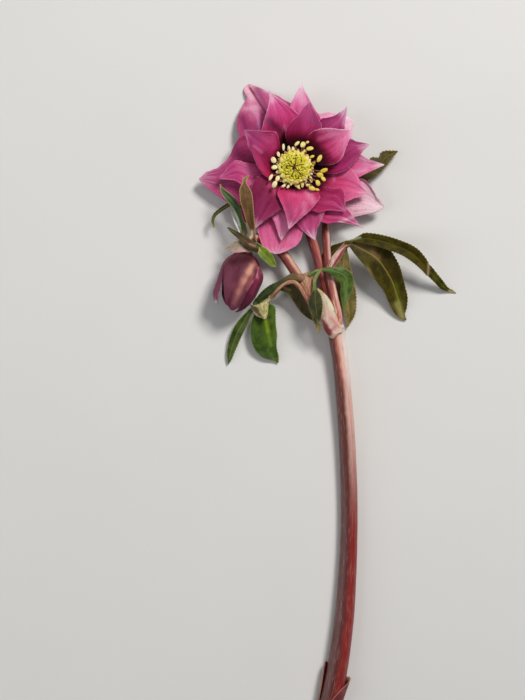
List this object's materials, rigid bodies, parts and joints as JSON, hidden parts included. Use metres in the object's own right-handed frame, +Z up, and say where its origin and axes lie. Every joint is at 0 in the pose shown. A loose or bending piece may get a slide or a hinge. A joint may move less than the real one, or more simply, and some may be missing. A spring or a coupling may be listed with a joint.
{
  "type": "hellebore flower",
  "caption": "Cut double hellebore stem with an open dusky-pink flower, a hanging bud and divided green bracts, lying on its side as a decorative cut flower.",
  "frame": {"origin": "on the surface the stem lies on, below the middle of the whole", "axes": "+Z up from that surface, +Y along the stem from the cut end towards the flower, +X towards the long bract leaflets; the bud is on the -X side"},
  "size_m": [0.1027, 0.2496, 0.0221],
  "materials": {
    "stem": "satin, ribbed and speckled",
    "outer_tepals": "soft satin, finely veined",
    "petals": "soft satin, finely veined",
    "stamens": "powdery",
    "styles": "satin",
    "bud_tepals": "soft satin, finely veined",
    "bracts": "leathery leaf, veined",
    "pale_bract": "thin, ribbed",
    "papery_sheath": "dry and papery"
  },
  "bodies": {
    "root": {"stem": "stem", "tepal_upper_left": "outer_tepals", "tepal_upper_right": "outer_tepals", "tepal_right": "outer_tepals", "tepal_bottom": "outer_tepals", "tepal_left": "outer_tepals", "petal_01": "petals", "petal_02": "petals", "petal_03": "petals", "petal_04": "petals", "petal_05": "petals", "petal_06": "petals", "petal_07": "petals", "petal_08": "petals", "petal_09": "petals", "petal_10": "petals", "petal_11": "petals", "petal_12": "petals", "petal_13": "petals", "petal_14": "petals", "petal_15": "petals", "petal_16": "petals", "stamens": "stamens", "styles": "styles", "bud_tepal_1": "bud_tepals", "bud_tepal_2": "bud_tepals", "bud_tepal_3": "bud_tepals", "bud_tepal_4": "bud_tepals", "bud_petal": "bud_tepals", "right_bract": "bracts", "left_bract": "bracts", "bud_bract_upper": "bracts", "bud_bract_left": "bracts", "bud_bract_right": "bracts", "back_bract": "bracts", "lower_bract": "pale_bract", "basal_sheath": "papery_sheath"}
  },
  "joints": []
}
